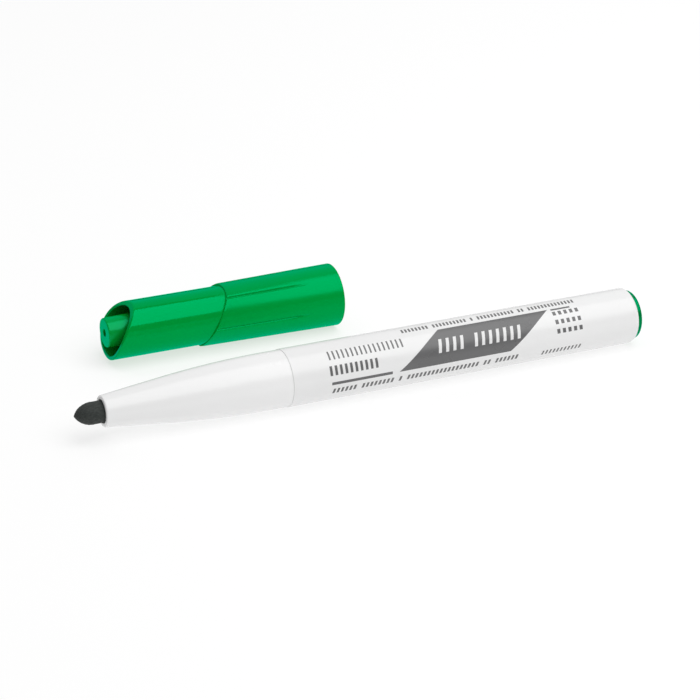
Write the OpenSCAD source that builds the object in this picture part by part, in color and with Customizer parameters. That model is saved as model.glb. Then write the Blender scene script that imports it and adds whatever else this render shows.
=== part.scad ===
// Whiteboard marker, uncapped, with its cap lying beside it.
// Millimetres, +Z up. The marker and the cap both lie along X with their writing ends toward -X.
// The origin is on the surface they lie on, under the centre of the pair.
// Each body is drawn in its own local frame and then placed:
//   marker frame: X along the axis, 0 at the seam between nose and barrel, writing end at -X
//   cap frame:    X along the axis, 0 at the open mouth, closed end at -X

/* [Barrel] */
// Outside diameter of the barrel
barrel_d = 12.5; // [12.4:0.1:12.9]
// Length of the barrel, seam to end plug
barrel_len = 84.3; // [70:0.1:110]
// Wall thickness of the barrel
barrel_wall = 0.9; // [0.8:0.05:0.9]
// Round on the barrel's rear edge
end_round = 0.7; // [0.3:0.1:0.7]
// Inner ribs that keep the ink reservoir centred
barrel_ribs = 6; // [3:1:8]

/* [Nose] */
// Length of the tapered nose, seam to mouth
nose_len = 40.25; // [38:0.05:42]
// Outside diameter of the nose where it meets the barrel
nose_d = 12.26; // [12.2:0.02:12.4]
// Radius of the long curve of the nose, seen from the side
nose_curve_r = 215; // [205:1:225]
// Slope of the straight cone that ends the nose, in degrees
nose_cone_angle = 6.3; // [6:0.1:6.6]
// Diameter of the hole the nib comes out of
mouth_d = 5; // [4.9:0.05:5.4]
// Length of the spigot that plugs into the barrel
spigot_len = 8; // [5:0.5:12]
// Splines that grip the nib and leave air channels between them
nib_splines = 6; // [4:1:8]

/* [Nib] */
// Diameter of the fibre nib
nib_d = 4.68; // [4.5:0.02:4.8]
// Length of nib outside the mouth
nib_out = 6; // [4:0.1:7]
// Length of the bullet-shaped tip
nib_ogive = 3.8; // [2.6:0.1:4]

/* [Reservoir] */
// Diameter of the ink reservoir over its film
reservoir_d = 9.2; // [9:0.05:9.3]
// Thickness of the film around the reservoir
film_t = 0.15; // [0.1:0.01:0.2]
// Depth of the nib's seat in the reservoir
nib_seat = 8.5; // [6:0.5:12]

/* [End plug] */
// Thickness of the plug's visible flange
flange_t = 1.2; // [1:0.1:1.6]
// Round on the flange's rear edge
flange_round = 0.4; // [0.3:0.1:0.6]
// Length of the plug inside the barrel
plug_len = 7.6; // [6:0.1:10]

/* [Cap] */
// Overall length of the outer cap
cap_len = 54.9; // [54:0.1:57]
// Outside diameter at the open mouth
mouth_od = 14.3; // [14.2:0.02:14.6]
// Bore of the mouth that slides over the nose
skirt_bore_d = 12.44; // [12.4:0.02:12.5]
// Length of that bore, before it narrows with the nose
skirt_bore_len = 10; // [8:0.5:10]
// Outside diameter of the slimmer front half
front_d = 12.5; // [12.4:0.1:12.7]
// Bore of the front half
front_bore_d = 10.7; // [10.6:0.1:10.9]
// Distance from the mouth to the curved step, measured on the axis
step_at = 31.05; // [30:0.05:32]
// Radius of the curve of the step, seen from the side
step_r = 44.6; // [40:0.2:50]
// Depth of the centre of that curve below the axis
step_drop = 19.7; // [18:0.1:21]
// Growth of the skirt's radius per millimetre toward the mouth
skirt_taper = 0.012; // [0.008:0.001:0.014]
// Soft flats around the skirt that stop the cap rolling
flats = 6; // [6:1:8]
// Distance from the mouth at which the flats run out
flats_end = 7; // [5:0.5:12]
// Distance of the middle of each flat from the axis, at the step
flat_at_step = 6.41; // [6.4:0.01:6.8]
// Radius of the curved cut across the closed end, seen from the side
scoop_r = 19.1; // [18:0.1:22]
// Depth of the centre of that curve below the axis
scoop_drop = 7.64; // [6:0.02:9]
// Turn of both curved cuts about the cap's axis, in degrees
cut_turn = 7; // [0:1:12]

/* [Inner seal] */
// Radius of the seal's flat end face
seal_face_r = 3.3; // [3.2:0.05:3.4]
// Distance from the mouth to the end face
seal_face_at = 55.2; // [55:0.1:58]
// Distance from the mouth to the seal's open end
seal_open_at = 33; // [31:0.5:34]
// Ribs between the seal and the cap, with air channels between them
seal_ribs = 4; // [3:1:6]

/* [Layout] */
// Distance between the two axes as they lie
cap_beside = 38; // [20:0.5:80]
// Distance of the cap's mouth behind the seam
cap_behind = 29.3; // [0:0.1:60]

/* [Hidden] */

facets = 96;
white = [0.93, 0.94, 0.94];
green = [0.0, 0.56, 0.3];
charcoal = [0.2, 0.22, 0.21];

// Fits inside the marker
slip = 0.02;            // clearance all round between pushed-together parts
press = 0.02;           // interference of the seal's ribs in the cap

barrel_r = barrel_d / 2;
bore_r = barrel_r - barrel_wall;
rib_t = 0.8;
rib_inner_r = reservoir_d / 2 + slip;

// Nose: a short land, a long arc tangent to it, then a straight cone to the mouth
nose_land = 3;
nose_r = nose_d / 2;
lip_round = 0.5;
cone_start_x = nose_land + nose_curve_r * sin(nose_cone_angle);
cone_start_r = nose_r - nose_curve_r * (1 - cos(nose_cone_angle));
mouth_r = mouth_d / 2;
spigot_r = bore_r - slip;
cavity_r = reservoir_d / 2 + 0.15;

// Radius of the nose's outside at a distance d in front of the seam, on its straight cone
function nose_cone_r(d) = cone_start_r - tan(nose_cone_angle) * (d - cone_start_x);

nib_r = nib_d / 2;
ogive_r = (pow(nib_ogive, 2) + pow(nib_r, 2)) / (2 * nib_r);
reservoir_front = -15;
reservoir_r = reservoir_d / 2 - film_t - slip;
plug_front = barrel_len - plug_len;
reservoir_back = plug_front - 0.4;
nib_back = reservoir_front + nib_seat - 0.3;
nib_tip = -nose_len - nib_out;

// Snap bead of the end plug, and its groove in the barrel
bead_h = 0.15;
bead_half = 0.6;
bead_at = plug_front + 0.45 * plug_len;
plug_bore_r = 4.3;
flange_lap = 0.15;      // overlap of the flange on the barrel's flat end
flange_r = bore_r + flange_lap;
flange_web = 0.9;

mouth_or = mouth_od / 2;
skirt_bore_r = skirt_bore_d / 2;
front_r = front_d / 2;
front_bore_r = front_bore_d / 2;
bore_cone_end = 24;
scoop_x = -cap_len + scoop_r;
step_x = -step_at + sqrt(pow(step_r, 2) - pow(step_drop, 2));

// The seal's inside follows the nose's cone, then narrows to a chamber around the nib
seal_gap = 0.02;
seal_stop = nose_len + 0.5;
chamber_r = 2.75;
chamber_end = 48;
chamber_tip_r = 2.3;
seal_neck_at = 41.5;
seal_neck_r = 3.75;
seal_wall = 1;
seal_open_r = nose_cone_r(seal_open_at) + seal_gap + 0.8;
dimple_r = 0.85;
dimple_depth = 0.6;

// Placing: centre of the pair at the origin, everything lying on z = 0
span_front = min(nib_tip, cap_behind - seal_face_at);
seam_x = -(span_front + barrel_len + flange_t) / 2;
marker_y = -(cap_beside + mouth_or - barrel_r) / 2;
cap_x = seam_x + cap_behind;
cap_y = marker_y + cap_beside;

module in_marker() { translate([seam_x, marker_y, barrel_r]) children(); }
module in_cap() { translate([cap_x, cap_y, mouth_or]) children(); }

// Solid of revolution about X; points are [radius, position along X]
module turned(points) { rotate([0, 90, 0]) rotate_extrude($fn = facets) polygon(points); }

// Cylinder along X from x0 to x1
module rod(x0, x1, r) { translate([x0, 0, 0]) rotate([0, 90, 0]) cylinder(h = x1 - x0, r = r, $fn = facets); }

// Radial plates about X, from radius r0 outward to r1
module plates(count, x0, x1, r0, r1, t) {
    for (i = [0:count - 1]) rotate([i * 360 / count, 0, 0])
        translate([x0, r0, -t / 2]) cube([x1 - x0, r1 - r0, t]);
}

function bead(x, r, h, half) = [[r, x - half], [r + h, x - half / 3], [r + h, x + half / 3], [r, x + half]];

module barrel() {
    color(white) in_marker() {
        difference() {
            turned(concat([[0, 0], [barrel_r, 0]],
                [for (a = [0:15:90]) [barrel_r - end_round * (1 - cos(a)),
                    barrel_len - end_round * (1 - sin(a))]],
                [[0, barrel_len]]));
            rod(-1, barrel_len + 1, bore_r);
            turned(concat([[bore_r - 1, bead_at - bead_half], [bore_r - 1, bead_at + bead_half]],
                [for (p = [3:-1:0]) bead(bead_at, bore_r, bead_h, bead_half)[p]]));
        }
        intersection() {
            plates(barrel_ribs, spigot_len + 1, plug_front - 1, rib_inner_r, barrel_r, rib_t);
            rod(0, barrel_len, bore_r + barrel_wall / 3);
        }
    }
}

// Outline of the nose from the seam to the mouth's lip, as [radius, position]
nose_steps = 10;
nose_outline = concat(
    [[nose_r, 0]],
    [for (i = [0:nose_steps]) let (a = nose_cone_angle * i / nose_steps)
        [nose_r - nose_curve_r * (1 - cos(a)), -nose_land - nose_curve_r * sin(a)]],
    [for (a = [0:30:90]) [nose_cone_r(nose_len) - lip_round * (1 - cos(a)),
        -nose_len + lip_round * (1 - sin(a))]]);

module nose_section() {
    color(white) in_marker() difference() {
        union() {
            turned(concat([[0, 0]], nose_outline, [[0, -nose_len]]));
            rod(-1, spigot_len, spigot_r);
        }
        difference() {
            turned([[0, spigot_len + 1], [cavity_r, spigot_len + 1], [cavity_r, -14],
                [cavity_r - 0.35, -20], [cavity_r - 1.3, -30], [mouth_r, -35],
                [mouth_r, -nose_len - 1], [0, -nose_len - 1]]);
            plates(nib_splines, -36, -16, nib_r + slip, barrel_r, rib_t);
        }
    }
}

// Radius of the bullet tip at a distance d behind its point: an arc that meets the shank smoothly
function tip_r(d) = sqrt(pow(ogive_r, 2) - pow(nib_ogive - d, 2)) - ogive_r + nib_r;

module nib() {
    steps = 12;
    color(charcoal) in_marker() turned(concat([[0, nib_tip]],
        [for (i = [1:steps]) let (d = nib_ogive * pow(i / steps, 1.5)) [tip_r(d), nib_tip + d]],
        [[nib_r, nib_back - 2], [nib_r - 0.8, nib_back], [0, nib_back]]));
}

module ink_reservoir() {
    color([0.35, 0.38, 0.37]) in_marker() difference() {
        rod(reservoir_front, reservoir_back, reservoir_r);
        rod(reservoir_front - 1, reservoir_front + nib_seat, nib_r + slip);
    }
}

module reservoir_film() {
    color([0.85, 0.88, 0.9]) in_marker() difference() {
        rod(reservoir_front, reservoir_back, reservoir_d / 2);
        rod(reservoir_front - 1, reservoir_back + 1, reservoir_d / 2 - film_t);
    }
}

module end_plug() {
    plug_r = bore_r - slip;
    flange_end = barrel_len + flange_t;
    color(green) in_marker() turned(concat(
        [[plug_bore_r, plug_front], [plug_r - 0.3, plug_front], [plug_r, plug_front + 0.5]],
        bead(bead_at, plug_r, bead_h, bead_half),
        [[plug_r, barrel_len], [flange_r, barrel_len]],
        [for (a = [0:15:90]) [flange_r - flange_round * (1 - cos(a)),
            flange_end - flange_round * (1 - sin(a))]],
        [[0, flange_end], [0, flange_end - flange_web], [plug_bore_r - 0.5, flange_end - flange_web],
         [plug_bore_r, flange_end - flange_web - 0.5]]));
}

// Outline across the skirt at its back end: bowed flats that meet in corners on the cone
skirt_back = -cap_len + 12;
skirt_back_r = mouth_or + skirt_taper * skirt_back;
flat_steps = 8;
flat_half = 180 / flats;
flat_depth_at_step = mouth_or - skirt_taper * step_at - flat_at_step;
flat_depth = flat_depth_at_step * (-skirt_back - flats_end) / (step_at - flats_end);

// Radius at an angle measured from the middle of a flat, from -flat_half to flat_half
function flat_r(a) = skirt_back_r - flat_depth * (1 - pow(a / flat_half, 2));

// Everything in front of an arc across the cap, centred at x and a drop below the axis;
// it leans back toward the top
module curved_cut(x, r, drop) {
    rotate([cut_turn, 0, 0]) difference() {
        translate([-cap_len - 5, -20, -20]) cube([cap_len + 5 + x, 40, 40]);
        translate([x, 30, -drop]) rotate([90, 0, 0]) cylinder(h = 60, r = r, $fn = 180);
    }
}

module skirt() {
    run_out_r = mouth_or - skirt_taper * flats_end;
    difference() {
        union() {
            turned([[0, 0], [mouth_or, 0], [run_out_r, -flats_end], [0, -flats_end]]);
            hull() {
                rod(-flats_end - 0.01, -flats_end, run_out_r);
                // turned so that the corners stand 10 degrees above and below the sides
                translate([skirt_back, 0, 0]) rotate([40, 0, 0]) rotate([90, 0, 90])
                    linear_extrude(0.01) polygon([for (side = [0:flats - 1], i = [0:flat_steps - 1])
                        let (a = flat_half * (2 * i / flat_steps - 1), b = a + side * 2 * flat_half)
                        flat_r(a) * [cos(b), sin(b)]]);
            }
        }
        curved_cut(step_x, step_r, step_drop);
    }
}

module cap_sleeve() {
    color(green) in_cap() difference() {
        union() {
            skirt();
            rod(-cap_len - 1, -bore_cone_end, front_r);
        }
        rod(-skirt_bore_len, 1, skirt_bore_r);
        turned([[0, -skirt_bore_len], [skirt_bore_r, -skirt_bore_len], [front_bore_r, -bore_cone_end],
            [0, -bore_cone_end]]);
        rod(-cap_len - 2, -bore_cone_end, front_bore_r);
        curved_cut(scoop_x, scoop_r, scoop_drop);
    }
}

module cap_inner_seal() {
    edge = 0.3;
    color(green) in_cap() difference() {
        union() {
            turned([[0, -seal_open_at], [seal_open_r, -seal_open_at],
                [seal_neck_r, -seal_neck_at], [seal_face_r, -seal_face_at + edge],
                [seal_face_r - edge, -seal_face_at], [0, -seal_face_at]]);
            intersection() {
                plates(seal_ribs, -45, -seal_open_at - 1, 1, front_r, rib_t);
                rod(-50, 0, front_bore_r + press);
            }
        }
        turned([[0, -seal_open_at + 1], [nose_cone_r(seal_open_at - 1) + seal_gap, -seal_open_at + 1],
            [nose_cone_r(seal_stop) + seal_gap, -seal_stop], [chamber_r, -seal_stop - 0.4],
            [chamber_r, -chamber_end], [chamber_tip_r, -seal_face_at + seal_wall],
            [0, -seal_face_at + seal_wall]]);
        rod(-seal_face_at - 1, -seal_face_at + dimple_depth, dimple_r);
    }
}

barrel();
nose_section();
nib();
ink_reservoir();
reservoir_film();
end_plug();
cap_sleeve();
cap_inner_seal();
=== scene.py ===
"""A whiteboard marker lying uncapped beside its cap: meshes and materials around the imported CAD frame."""

import math

import bmesh
import bpy
from mathutils import Matrix, Vector


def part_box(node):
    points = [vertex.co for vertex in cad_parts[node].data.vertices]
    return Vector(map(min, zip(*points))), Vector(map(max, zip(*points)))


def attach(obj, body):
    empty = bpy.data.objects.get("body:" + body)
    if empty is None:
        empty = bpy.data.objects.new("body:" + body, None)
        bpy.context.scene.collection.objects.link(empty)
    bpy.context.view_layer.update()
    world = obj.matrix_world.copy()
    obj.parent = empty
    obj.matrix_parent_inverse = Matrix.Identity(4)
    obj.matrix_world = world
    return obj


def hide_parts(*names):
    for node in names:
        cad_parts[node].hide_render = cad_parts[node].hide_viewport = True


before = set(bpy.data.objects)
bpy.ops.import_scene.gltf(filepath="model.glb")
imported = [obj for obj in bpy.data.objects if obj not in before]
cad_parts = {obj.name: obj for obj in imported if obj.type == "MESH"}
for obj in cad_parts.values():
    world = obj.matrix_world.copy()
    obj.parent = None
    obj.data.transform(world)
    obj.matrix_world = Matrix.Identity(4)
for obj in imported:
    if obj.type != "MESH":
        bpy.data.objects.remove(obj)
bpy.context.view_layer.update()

MM = 0.001
TURN = 2 * math.pi
SEGMENTS = 192          # divisions around every turned piece

# ---------------------------------------------------------------- sizes read from the frame, in millimetres


class Span:
    """Box of a CAD node: its ends along X, its largest radius, and the axis it is turned about."""

    def __init__(self, node):
        low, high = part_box(node)
        self.x0, self.x1 = low.x / MM, high.x / MM
        self.r = (high.z - low.z) / 2 / MM
        self.axis = Vector((0, (low.y + high.y) / 2, (low.z + high.z) / 2))


barrel = Span("barrel")
nose = Span("nose_section")
nib = Span("nib")
plug = Span("end_plug")
sleeve = Span("cap_sleeve")
seal = Span("cap_inner_seal")

# ---------------------------------------------------------------- mesh tools


def rounded(outline, steps=5):
    """Points of an outline whose corners (x, r, radius) are rounded, with a point just outside each round
    to keep the flats flat. A corner with radius 0 stays one point. The number of points never depends on
    the sizes."""
    points = []
    count = len(outline)
    for i, (x, r, radius) in enumerate(outline):
        corner = Vector((x, r))
        if radius == 0:
            points.append((x, r))
            continue
        before = Vector(outline[i - 1][:2]) - corner
        after = Vector(outline[(i + 1) % count][:2]) - corner
        reach = min(radius, 0.4 * before.length, 0.4 * after.length)
        a = corner + before.normalized() * reach
        b = corner + after.normalized() * reach
        points.append(tuple(corner + before.normalized() * reach * 1.12))
        for k in range(steps + 1):
            t = k / steps
            points.append(tuple(a * (1 - t) ** 2 + corner * 2 * t * (1 - t) + b * t ** 2))
        points.append(tuple(corner + after.normalized() * reach * 1.12))
    return points


def smooth_object(name, verts, faces, material, sharp=50):
    """New mesh object: doubles merged, normals outward, smooth shading except at edges over the angle."""
    mesh = bpy.data.meshes.new(name)
    mesh.from_pydata([tuple(v) for v in verts], [], faces)
    work = bmesh.new()
    work.from_mesh(mesh)
    bmesh.ops.remove_doubles(work, verts=work.verts, dist=0.0005 * MM)
    bmesh.ops.dissolve_degenerate(work, dist=0.0005 * MM, edges=work.edges)
    bmesh.ops.recalc_face_normals(work, faces=work.faces)
    work.to_mesh(mesh)
    work.free()
    mesh.polygons.foreach_set("use_smooth", [True] * len(mesh.polygons))
    mesh.set_sharp_from_angle(angle=math.radians(sharp))
    mesh.materials.append(material)
    piece = bpy.data.objects.new(name, mesh)
    bpy.context.scene.collection.objects.link(piece)
    return piece


def turned(name, outline_at, axis, x_shift, material, angles=None):
    """Skin swept about an axis along X. outline_at(angle) gives the closed outline as (x, r) points in
    millimetres; angles run from +Y toward +Z."""
    angles = angles or [TURN * i / SEGMENTS for i in range(SEGMENTS)]
    verts = []
    for a in angles:
        ring = outline_at(a)
        y, z = math.cos(a) * MM, math.sin(a) * MM
        verts += [((x + x_shift) * MM, axis.y + r * y, axis.z + r * z) for x, r in ring]
    n = len(ring)
    faces = []
    for i in range(len(angles)):
        j = (i + 1) % len(angles)
        faces += [(i * n + k, i * n + (k + 1) % n, j * n + (k + 1) % n, j * n + k) for k in range(n)]
    return smooth_object(name, verts, faces, material)


def off_centre(angle, count, first=0.0):
    """Angle from the nearest of `count` evenly spaced directions, in radians."""
    step = TURN / count
    return abs((angle - first + step / 2) % step - step / 2)


def angles_with_ribs(count, half, first=0.0):
    """Even divisions of the turn, plus a close pair at each side of every rib to keep its walls straight."""
    close = 0.0006
    angles = [TURN * i / SEGMENTS for i in range(SEGMENTS)]
    angles = [a for a in angles if abs(off_centre(a, count, first) - half) > 3 * close]
    for i in range(count):
        centre = first + TURN * i / count
        angles += [(centre + side * (half + gap)) % TURN for side in (-1, 1) for gap in (-close, close)]
    return sorted(angles)


# ---------------------------------------------------------------- materials


def new_material(name, color, roughness, **sockets):
    """A Principled material with constant sockets; returns the material, its nodes, links and shader."""
    material = bpy.data.materials.new(name)
    material.use_nodes = True
    nodes, links = material.node_tree.nodes, material.node_tree.links
    shader = nodes["Principled BSDF"]
    shader.inputs["Base Color"].default_value = (*color, 1)
    shader.inputs["Roughness"].default_value = roughness
    for socket, value in sockets.items():
        shader.inputs[socket.replace("_", " ")].default_value = value
    return material, nodes, links, shader


def noise(nodes, links, scale, detail=3, stretch=(1, 1, 1), rough=0.5):
    """Noise over the object's own coordinates, in cycles per metre; stretch squeezes it along an axis."""
    coords = nodes.new("ShaderNodeTexCoord")
    mapping = nodes.new("ShaderNodeMapping")
    mapping.inputs["Scale"].default_value = stretch
    texture = nodes.new("ShaderNodeTexNoise")
    texture.inputs["Scale"].default_value = scale
    texture.inputs["Detail"].default_value = detail
    texture.inputs["Roughness"].default_value = rough
    links.new(coords.outputs["Object"], mapping.inputs["Vector"])
    links.new(mapping.outputs["Vector"], texture.inputs["Vector"])
    return texture.outputs["Fac"]


def ramp(nodes, links, source, low, high, start=0.35, end=0.65):
    """Colour ramp from low to high colour over a range of the source."""
    node = nodes.new("ShaderNodeValToRGB")
    node.color_ramp.elements[0].position = start
    node.color_ramp.elements[1].position = end
    node.color_ramp.elements[0].color = (*low, 1)
    node.color_ramp.elements[1].color = (*high, 1)
    links.new(source, node.inputs["Fac"])
    return node.outputs["Color"]


def map_range(nodes, links, source, out_low, out_high, in_low=0.3, in_high=0.7):
    node = nodes.new("ShaderNodeMapRange")
    node.inputs["From Min"].default_value = in_low
    node.inputs["From Max"].default_value = in_high
    node.inputs["To Min"].default_value = out_low
    node.inputs["To Max"].default_value = out_high
    links.new(source, node.inputs["Value"])
    return node.outputs["Result"]


def bump(nodes, links, shader, source, strength, distance):
    node = nodes.new("ShaderNodeBump")
    node.inputs["Strength"].default_value = strength
    node.inputs["Distance"].default_value = distance
    links.new(source, node.inputs["Height"])
    links.new(node.outputs["Normal"], shader.inputs["Normal"])


def moulded_plastic(name, color, shade, gloss, satin, blend_x=None, **sockets):
    """Moulded polypropylene: a slow drift of tone, fine orange peel, and roughness that drifts from gloss
    to satin. With blend_x = (x0, x1), in metres, it changes from gloss before x0 to satin after x1."""
    material, nodes, links, shader = new_material(name, color, gloss, **sockets)
    drift = noise(nodes, links, 60, 2)
    links.new(ramp(nodes, links, drift, shade, color), shader.inputs["Base Color"])
    wear = noise(nodes, links, 400, 3)
    if blend_x:
        coords = nodes.new("ShaderNodeTexCoord")
        split = nodes.new("ShaderNodeSeparateXYZ")
        links.new(coords.outputs["Object"], split.inputs["Vector"])
        base = map_range(nodes, links, split.outputs["X"], gloss, satin, *blend_x)
    else:
        base = map_range(nodes, links, drift, gloss, satin)
    spread = map_range(nodes, links, wear, -0.01, 0.015)
    total = nodes.new("ShaderNodeMath")
    total.operation = "ADD"
    links.new(base, total.inputs[0])
    links.new(spread, total.inputs[1])
    links.new(total.outputs["Value"], shader.inputs["Roughness"])
    bump(nodes, links, shader, noise(nodes, links, 700, 2), 0.05, 0.00002)
    return material


def fibre(name, dark, light, along, across):
    """Pressed polyester fibres running along X, soaked with ink."""
    material, nodes, links, shader = new_material(name, dark, 0.85)
    strands = noise(nodes, links, across, 6, stretch=(along, 1, 1), rough=0.65)
    links.new(ramp(nodes, links, strands, dark, light, 0.3, 0.75), shader.inputs["Base Color"])
    links.new(map_range(nodes, links, strands, 0.95, 0.6), shader.inputs["Roughness"])
    bump(nodes, links, shader, strands, 0.6, 0.00012)
    return material


white = moulded_plastic("white_plastic", (0.845, 0.845, 0.845), (0.83, 0.83, 0.83), 0.22, 0.27)
# painted light: the nose is the same white plastic made lighter, to brighten the front of the marker
nose_white_painted_light = moulded_plastic("nose_plastic_painted_light", (0.885, 0.885, 0.885), (0.87, 0.87, 0.87), 0.22, 0.27)
GREEN = (0.0, 0.30, 0.032)
GREEN_SHADE = (0.0, 0.285, 0.030)
GREEN_GLINT = (0.02, 1.0, 0.46, 1)
# painted shade: the rear plug is the cap's green made darker, standing in for the shade on its rounded end
PLUG_GREEN_PAINTED_SHADE = (0.0, 0.17, 0.035)
PLUG_DRIFT_PAINTED_SHADE = (0.0, 0.155, 0.03)
SEAL_GLINT = (0.5, 1.0, 0.6, 1)
GLINT_LEVEL = 0.9
# a tinted layer that adds no reflection of its own
TINTED_SKIN = {"Coat_Weight": 1.0, "Coat_IOR": 1.0, "Coat_Roughness": 0.2, "Coat_Tint": (0.0, 1.0, 0.97, 1)}
SEAL_SKIN = {**TINTED_SKIN, "Coat_Tint": (0.1, 1.0, 0.9, 1)}
step_x = (sleeve.x1 - 31) * MM
green = moulded_plastic("green_plastic", GREEN, GREEN_SHADE, 0.1, 0.24, blend_x=(step_x, step_x + 3 * MM),
                        Specular_Tint=GREEN_GLINT, Specular_IOR_Level=GLINT_LEVEL, **TINTED_SKIN)
# painted shade: a darker copy of the cap's green for the rear plug
green_plug_with_painted_shade = moulded_plastic("plug_green_painted_shade", PLUG_GREEN_PAINTED_SHADE, PLUG_DRIFT_PAINTED_SHADE, 0.12, 0.18,
                             Specular_Tint=GREEN_GLINT, Specular_IOR_Level=GLINT_LEVEL, **TINTED_SKIN)
ink = moulded_plastic("print_ink", (0.135, 0.135, 0.137), (0.125, 0.125, 0.127), 0.24, 0.3)
pale_ink = moulded_plastic("pale_print_ink", (0.80, 0.80, 0.80), (0.78, 0.78, 0.78), 0.24, 0.3)
green_seal = moulded_plastic("green_seal_plastic", GREEN, GREEN_SHADE, 0.2, 0.28,
                             Specular_Tint=SEAL_GLINT, Specular_IOR_Level=GLINT_LEVEL, **SEAL_SKIN)
nib_felt = fibre("nib_felt", (0.016, 0.020, 0.018), (0.036, 0.043, 0.039), 0.25, 5200)
core_felt = fibre("core_felt", (0.03, 0.045, 0.04), (0.16, 0.2, 0.18), 0.06, 3000)
film = moulded_plastic("wrap_film", (0.72, 0.76, 0.78), (0.66, 0.7, 0.73), 0.12, 0.2)

# ---------------------------------------------------------------- marker

BARREL_WALL = 0.9
BARREL_LEN = barrel.x1 - barrel.x0
BORE = barrel.r - BARREL_WALL
RIB_THICK = 0.8
CORE_R = 4.62           # inner reach of the ribs that hold the reservoir
SEAM_ROUND = 0.09
END_ROUND = 0.7
RIBS_START = 9
RIBS_END = plug.x0 - barrel.x0 - 1
SLIP = 0.02             # clearance all round between pushed-together parts


def round_edge(x, r, radius):
    """Quarter arc from an outside surface of radius r to the end face at x."""
    turn = [math.radians(9 * i) for i in range(11)]
    return [(x - radius * (1 - math.sin(a)), r - radius * (1 - math.cos(a)), 0) for a in turn]


def barrel_outline(angle):
    rib = off_centre(angle, 6) < RIB_THICK / 2 / CORE_R
    inner = CORE_R if rib else BORE
    return rounded(
        [(0, BORE, 0.05), (0, barrel.r, SEAM_ROUND)] + round_edge(BARREL_LEN, barrel.r, END_ROUND)
        + [(BARREL_LEN, BORE, 0.05), (RIBS_END + 0.1, BORE, 0), (RIBS_END, inner, 0),
           (RIBS_START, inner, 0), (RIBS_START - 0.1, BORE, 0)])


barrel_piece = turned("barrel_tube", barrel_outline, barrel.axis, barrel.x0, white,
                      angles_with_ribs(6, RIB_THICK / 2 / CORE_R))

NOSE_R = 6.13
NOSE_LAND = 3
NOSE_CURVE = 215
NOSE_CONE = math.radians(6.3)
NOSE_LEN = barrel.x0 - nose.x0
MOUTH_R = 2.5
CAVITY_R = 4.75
SPIGOT_LEN = nose.x1 - barrel.x0


def nose_radius(d):
    """Outside radius of the nose at a distance d in front of the seam: a land, a long arc, then a cone."""
    arc_end = NOSE_LAND + NOSE_CURVE * math.sin(NOSE_CONE)
    if d < NOSE_LAND:
        return NOSE_R
    if d < arc_end:
        return NOSE_R - NOSE_CURVE + math.sqrt(NOSE_CURVE ** 2 - (d - NOSE_LAND) ** 2)
    return NOSE_R - NOSE_CURVE * (1 - math.cos(NOSE_CONE)) - math.tan(NOSE_CONE) * (d - arc_end)


def nose_outline(angle):
    spline = off_centre(angle, 6) < RIB_THICK / 2 / nib.r
    grip = nib.r + SLIP
    inside = [(SPIGOT_LEN, CAVITY_R), (-14, CAVITY_R), (-15.9, 4.65), (-16, 4.64), (-20, 4.4), (-30, 3.45),
              (-34.9, 2.52), (-36, MOUTH_R), (-36.1, MOUTH_R)]
    outside = [(-d, nose_radius(d), 0) for d in [NOSE_LEN * i / 40 for i in range(39, 0, -1)]]
    return rounded(
        [(SPIGOT_LEN, BORE - SLIP, 0.1)]
        + [(x, grip if spline and -36 <= x <= -16 else r, 0) for x, r in inside]
        + [(-NOSE_LEN, MOUTH_R, 0.15), (-NOSE_LEN, nose_radius(NOSE_LEN), 0.6)]
        + outside
        + [(0, NOSE_R, 0.06), (0, BORE - SLIP, 0)])


# the nose takes the lighter white, which is painted light
nose_piece = turned("nose_cone", nose_outline, barrel.axis, barrel.x0, nose_white_painted_light,
                    angles_with_ribs(6, RIB_THICK / 2 / nib.r))

NIB_OGIVE = 3.8


def nib_outline(angle):
    """Bullet tip, slightly irregular as pressed felt is, then the shank into the reservoir."""
    curve = (NIB_OGIVE ** 2 + nib.r ** 2) / (2 * nib.r)
    length = nib.x1 - nib.x0
    tip = []
    for i in range(25):
        d = NIB_OGIVE * (i / 24) ** 1.5
        r = math.sqrt(curve ** 2 - (NIB_OGIVE - d) ** 2) - curve + nib.r
        felt = 0.02 * math.sin(7 * angle + 5 * d) * math.sin(3 * angle - 4 * d) * min(1, d)
        tip.append((d, max(r, 0) * (1 + felt), 0))
    tip[0] = (0.0, 0.0, 0)
    shank = [(NIB_OGIVE + (8 - NIB_OGIVE) * i / 12, nib.r, 0) for i in range(1, 13)]
    return rounded(tip + shank + [(length - 2, nib.r, 0), (length, nib.r - 0.8, 0.1), (length, 0, 0)])


nib_piece = turned("felt_nib", nib_outline, nib.axis, nib.x0, nib_felt)

PLUG_BORE = 4.3
FLANGE = plug.x1 - barrel.x1
FLANGE_R = BORE + 0.15
FLANGE_ROUND = 0.4
FLANGE_WEB = 0.9
PLUG_R = BORE - SLIP
BEAD_R = BORE + 0.13


def plug_outline(angle):
    front = plug.x0 - barrel.x1
    back = FLANGE
    return rounded([
        (back - FLANGE_WEB, 0, 0), (back - FLANGE_WEB, PLUG_BORE, 0.5), (front, PLUG_BORE, 0.1),
        (front, PLUG_R, 0.3), (front + 3, PLUG_R, 0), (front + 3.4, BEAD_R, 0), (front + 3.8, BEAD_R, 0),
        (front + 4.2, PLUG_R, 0), (0, PLUG_R, 0), (0, FLANGE_R, 0.03)]
        + round_edge(back, FLANGE_R, FLANGE_ROUND) + [(back, 0, 0)])


# the plug takes the darker green, which is painted shade
plug_piece = turned("rear_plug", plug_outline, barrel.axis, barrel.x1, green_plug_with_painted_shade)

# ---------------------------------------------------------------- cap

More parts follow.
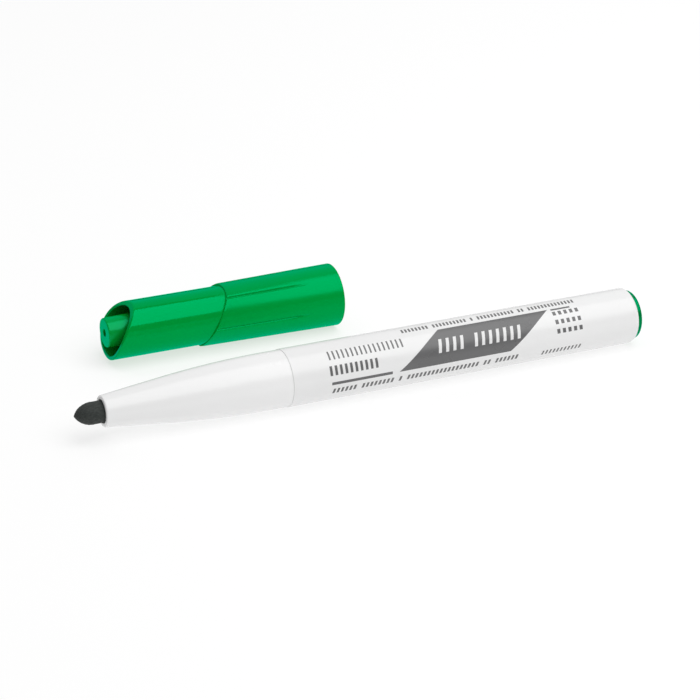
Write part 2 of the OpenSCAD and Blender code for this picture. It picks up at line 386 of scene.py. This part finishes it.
CAP_LEN = sleeve.x1 - sleeve.x0
CAP_MOUTH_R = sleeve.r
SKIRT_TAPER = 0.012
FLATS = 6
FLAT_FIRST = math.radians(40)
CUT_TURN = math.radians(7)
FLATS_END = 7
STEP_AT = 31.05
STEP_R = 44.6
STEP_DROP = 19.7
FLAT_AT_STEP = 6.41     # distance of the middle of each flat from the axis, at the step
FLAT_DROP = CAP_MOUTH_R - SKIRT_TAPER * STEP_AT - FLAT_AT_STEP
FRONT_R = 6.25
FRONT_BORE = 5.35
SKIRT_BORE = 6.22
SCOOP_R = 19.1
SCOOP_DROP = 7.64
CREASE_DEPTH = 0.32     # fine line along every corner between two flats, and along the foot of the step
CREASE_WIDTH = 0.24
CREASE_END = 8
FOOT_DEPTH = 0.07


def skirt_radius(x, angle):
    """Outside radius of the skirt: a slight cone with bowed flats that fade out before the mouth."""
    depth = FLAT_DROP * max(0, -x - FLATS_END) / (STEP_AT - FLATS_END)
    off = off_centre(angle, FLATS, FLAT_FIRST)
    across = off / (math.pi / FLATS)
    from_corner = (math.pi / FLATS - off) * CAP_MOUTH_R
    crease = CREASE_DEPTH * min(1, max(0, -x - CREASE_END) / 4) * math.exp(-(from_corner / CREASE_WIDTH) ** 2)
    return CAP_MOUTH_R + SKIRT_TAPER * x - depth * (1 - across ** 2) - crease


def cut_x(r, angle, reach, curve, drop):
    """Where a curved cut across the cap meets a radius r. The cut is an arc of radius `curve` seen from
    the side, centred `drop` below the axis, and `reach` is its furthest distance from the mouth."""
    z = r * math.sin(angle - CUT_TURN) + drop
    return -reach + curve - math.sqrt(curve ** 2 - z ** 2)


STEP_REACH = STEP_AT + STEP_R - math.sqrt(STEP_R ** 2 - STEP_DROP ** 2)


def sleeve_outline(angle):
    skirt_front = cut_x(skirt_radius(-STEP_AT, angle), angle, STEP_REACH, STEP_R, STEP_DROP)
    step_foot = cut_x(FRONT_R, angle, STEP_REACH, STEP_R, STEP_DROP)
    skirt_r = skirt_radius(skirt_front, angle)
    soft = min(0.14, 0.35 * (skirt_r - FRONT_R))
    foot_r = FRONT_R - FOOT_DEPTH
    run = [(x, skirt_radius(x, angle), 0) for x in (-3, -FLATS_END, -8, -9.5, -12, -16, -20, -23)]
    rim_out, rim_in = [cut_x(r, angle, CAP_LEN, SCOOP_R, SCOOP_DROP) for r in (FRONT_R, FRONT_BORE)]
    front = [(step_foot + (rim_out - step_foot) * t, FRONT_R, 0) for t in (0.15, 0.4, 0.7)]
    return rounded(
        [(0, SKIRT_BORE, 0.3), (0, CAP_MOUTH_R, 0.22)] + run
        + [(skirt_front + 0.5, skirt_r, 0.2), (skirt_front, skirt_r - 0.06, soft), (step_foot, foot_r, 0.03),
           (step_foot - 0.3, FRONT_R, 0.1)] + front
        + [(rim_out, FRONT_R, 0.32), (rim_in, FRONT_BORE, 0.25), (-40, FRONT_BORE, 0), (-24, FRONT_BORE, 0.6),
           (-10, SKIRT_BORE, 0.6)])


def angles_with_corners():
    """Divisions of the turn, finer about every corner between two flats."""
    half = math.pi / FLATS
    near = [math.radians(d) for d in (0, 0.3, 0.6, 0.9, 1.3, 1.8, 2.5, 3.5)]
    spread = [half * i / 16 for i in range(14)]
    offsets = {side * off for off in [half - d for d in near] + spread for side in (-1, 1)}
    return sorted({round((FLAT_FIRST + i * 2 * half + offset) % TURN, 6)
                   for i in range(FLATS) for offset in offsets})


sleeve_piece = turned("cap_shell", sleeve_outline, sleeve.axis, sleeve.x1, green, angles_with_corners())

SEAL_RIBS = 4
SEAL_FACE_R = 3.3
SEAL_NECK_R = 3.75
SEAL_NECK_AT = 41.5
SEAL_DIMPLE_R = 0.85
SEAL_CHAMBER_R = 2.75
SEAL_END = sleeve.x1 - seal.x1
SEAL_FACE = sleeve.x1 - seal.x0


def seal_outline(angle):
    rib = off_centre(angle, SEAL_RIBS) < RIB_THICK / 2 / SEAL_NECK_R
    open_r = nose_radius(SEAL_END) + 0.82
    rib_r = FRONT_BORE + 0.02
    slope = (open_r - SEAL_NECK_R) / (SEAL_NECK_AT - SEAL_END)
    narrowing = (SEAL_NECK_R - SEAL_FACE_R) / (SEAL_FACE - SEAL_NECK_AT)
    neck = lambda d: SEAL_NECK_R + slope * (SEAL_NECK_AT - d)
    slim = lambda d: SEAL_NECK_R - narrowing * (d - SEAL_NECK_AT)
    ribbed = lambda r: rib_r if rib else r
    return rounded([
        (-SEAL_FACE + 0.6, 0, 0), (-SEAL_FACE + 0.6, SEAL_DIMPLE_R, 0.15), (-SEAL_FACE, SEAL_DIMPLE_R, 0.15),
        (-SEAL_FACE, SEAL_FACE_R - 0.02, 0.3), (-45.1, slim(45.1), 0), (-45, ribbed(slim(45)), 0),
        (-SEAL_NECK_AT, ribbed(SEAL_NECK_R), 0), (-SEAL_END - 1, ribbed(neck(SEAL_END + 1)), 0),
        (-SEAL_END - 0.9, neck(SEAL_END + 0.9), 0), (-SEAL_END, open_r, 0.15),
        (-SEAL_END, nose_radius(SEAL_END) + SLIP, 0.15),
        (-NOSE_LEN - 0.5, nose_radius(NOSE_LEN + 0.5) + SLIP, 0.1), (-NOSE_LEN - 0.9, SEAL_CHAMBER_R, 0.1),
        (-48, SEAL_CHAMBER_R, 0.4), (-SEAL_FACE + 1, 2.3, 0.4), (-SEAL_FACE + 1, 0, 0)])


seal_piece = turned("cap_seal_cup", seal_outline, sleeve.axis, sleeve.x1, green_seal,
                    angles_with_ribs(SEAL_RIBS, RIB_THICK / 2 / SEAL_NECK_R))

# ---------------------------------------------------------------- print: a plain band, lines and ticks

INK_IN = 0.02
INK_STEP = math.radians(3)


def ink_patch(mesh, x0, x1, top, bottom, lean=0.0, out=0.006):
    """Adds a thin closed patch on the barrel, from x0 to x1 behind the seam at its bottom edge. top and
    bottom are angles in degrees; lean is how far the patch moves back per degree on its way up."""
    verts, faces = mesh
    rows = max(1, math.ceil(math.radians(bottom - top) / INK_STEP))
    base = len(verts)
    for i in range(rows + 1):
        degrees = bottom + (top - bottom) * i / rows
        y, z = math.cos(math.radians(degrees)), math.sin(math.radians(degrees))
        for x in (x0, x1):
            for r in (barrel.r - INK_IN, barrel.r + out):
                verts.append(((barrel.x0 + x + lean * (bottom - degrees)) * MM,
                              barrel.axis.y + r * MM * y, barrel.axis.z + r * MM * z))
    for i in range(rows):
        a, b = base + 4 * i, base + 4 * i + 4
        faces += [(a + 1, a + 3, b + 3, b + 1), (a, b, b + 2, a + 2),
                  (a, a + 1, b + 1, b), (a + 2, b + 2, b + 3, a + 3)]
    last = base + 4 * rows
    faces += [(base, base + 2, base + 3, base + 1), (last, last + 1, last + 3, last + 2)]


def ticks(mesh, x0, x1, angle, height, groups, fill, lean=0.0, out=0.006):
    """A row of ticks in groups, from x0 to x1, centred on an angle in degrees; height is in millimetres."""
    cells = sum(groups) + len(groups) - 1
    pitch = (x1 - x0) / (cells - 1 + fill)
    half = math.degrees(height / 2 / barrel.r)
    cell = 0
    for group in groups:
        for _ in range(group):
            start = x0 + cell * pitch
            ink_patch(mesh, start, start + pitch * fill, angle - half, angle + half, lean, out)
            cell += 1
        cell += 1


def dark_print():
    mesh = ([], [])
    # the wide band, and the thin lines before and after it
    ink_patch(mesh, 24.5, 51.5, 113, 186, 0.15)
    ink_patch(mesh, 8.7, 22.9, 182, 188)
    ink_patch(mesh, 63.2, 68, 113, 117)
    # rows of ticks
    ticks(mesh, 27.3, 69.7, 99, 1.3, [8, 10, 1, 11, 2, 14], 0.55, 0.012)
    ticks(mesh, 9, 53.4, 203, 1.3, [6, 8, 1, 18, 2, 6], 0.55, 0.02)
    ticks(mesh, 59.6, 69.3, 206, 1.2, [11], 0.45, 0.02)
    ticks(mesh, 8.8, 26.2, 128, 2.1, [17], 0.36)
    ticks(mesh, 8.4, 19.6, 159, 2.1, [10], 0.5)
    for angle in (125, 144, 163):
        ticks(mesh, 63.2, 69.6, angle, 1.0, [5], 0.55)
    return mesh


def light_print():
    """Pale ticks over the wide band."""
    mesh = ([], [])
    ticks(mesh, 34, 54, 149, 3.0, [4, 7], 0.42, 0.02, 0.01)
    return mesh


print_piece = smooth_object("barrel_print", *dark_print(), ink)
light_piece = smooth_object("barrel_print_light", *light_print(), pale_ink)

# ---------------------------------------------------------------- bodies, replaced nodes and finishes

for piece, body, node, slot in (
        (barrel_piece, "marker", "barrel", "body_white"),
        (nose_piece, "marker", "nose_section", "body_white"),
        (nib_piece, "marker", "nib", "nib_fibre"),
        (plug_piece, "marker", "end_plug", "cap_green"),
        (sleeve_piece, "cap", "cap_sleeve", "cap_green"),
        (seal_piece, "cap", "cap_inner_seal", "cap_green"),
        (print_piece, "marker", None, "print_grey"),
        (light_piece, "marker", None, "body_white")):
    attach(piece, body)
    if node:
        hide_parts(node)

for node, material in (("ink_reservoir", core_felt), ("reservoir_film", film)):
    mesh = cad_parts[node].data
    mesh.materials.clear()
    mesh.materials.append(material)

# ---------------------------------------------------------------- floor, light and camera


def add_floor():
    """A pale, softly glowing table, so that the pair casts next to no shadow."""
    mesh = bpy.data.meshes.new("floor")
    size = 4.0
    corners = [(-size, -size, 0), (size, -size, 0), (size, size, 0), (-size, size, 0)]
    mesh.from_pydata(corners, [], [(0, 1, 2, 3)])
    material, nodes, links, shader = new_material(
        "floor_white", (0.35, 0.35, 0.35), 0.9, Specular_IOR_Level=0.0, Emission_Color=(1, 1, 1, 1),
        Emission_Strength=0.66)
    mesh.materials.append(material)
    floor = bpy.data.objects.new("floor", mesh)
    bpy.context.scene.collection.objects.link(floor)
    floor.location.z = -0.0001


def softbox(name, tilt, x, distance, width, length, power):
    """A rectangular area light facing the X axis: tilt is its direction from +Y toward +Z, and its long
    side is `length`."""
    data = bpy.data.lights.new(name, "AREA")
    data.shape = "RECTANGLE"
    data.size = length
    data.size_y = width
    data.energy = power
    light = bpy.data.objects.new(name, data)
    along = Vector((1, 0, 0))
    back = Vector((0, math.cos(tilt), math.sin(tilt)))
    light.location = back * distance + along * x
    light.rotation_euler = Matrix((along, back.cross(along), back)).transposed().to_euler()
    bpy.context.scene.collection.objects.link(light)


def add_lights():
    world = bpy.data.worlds.new("studio")
    world.use_nodes = True
    background = world.node_tree.nodes["Background"]
    background.inputs["Color"].default_value = (1, 1, 1, 1)
    background.inputs["Strength"].default_value = 0.25
    bpy.context.scene.world = world
    softbox("overhead_softbox", math.radians(115), 0.35, 0.9, 1.2, 1.0, 9.0)
    softbox("back_softbox", math.radians(45), 0.2, 1.1, 1.2, 2.0, 4.5)


def add_camera():
    azimuth, elevation = math.radians(-25.41), math.radians(22.42)
    target = Vector(((barrel.x0 + 18.56) * MM, barrel.axis.y + 5.85 * MM, 7.19 * MM))
    distance = 0.5032
    back = Vector((math.sin(azimuth) * math.cos(elevation), -math.cos(azimuth) * math.cos(elevation),
                   math.sin(elevation)))
    data = bpy.data.cameras.new("camera")
    data.sensor_width = 36
    data.lens = 120
    data.clip_start = 0.01
    camera = bpy.data.objects.new("camera", data)
    camera.location = target + back * distance
    camera.rotation_euler = back.to_track_quat("Z", "Y").to_euler()
    bpy.context.scene.collection.objects.link(camera)
    bpy.context.scene.camera = camera


add_floor()
add_lights()
add_camera()
bpy.context.scene.view_settings.view_transform = "Standard"
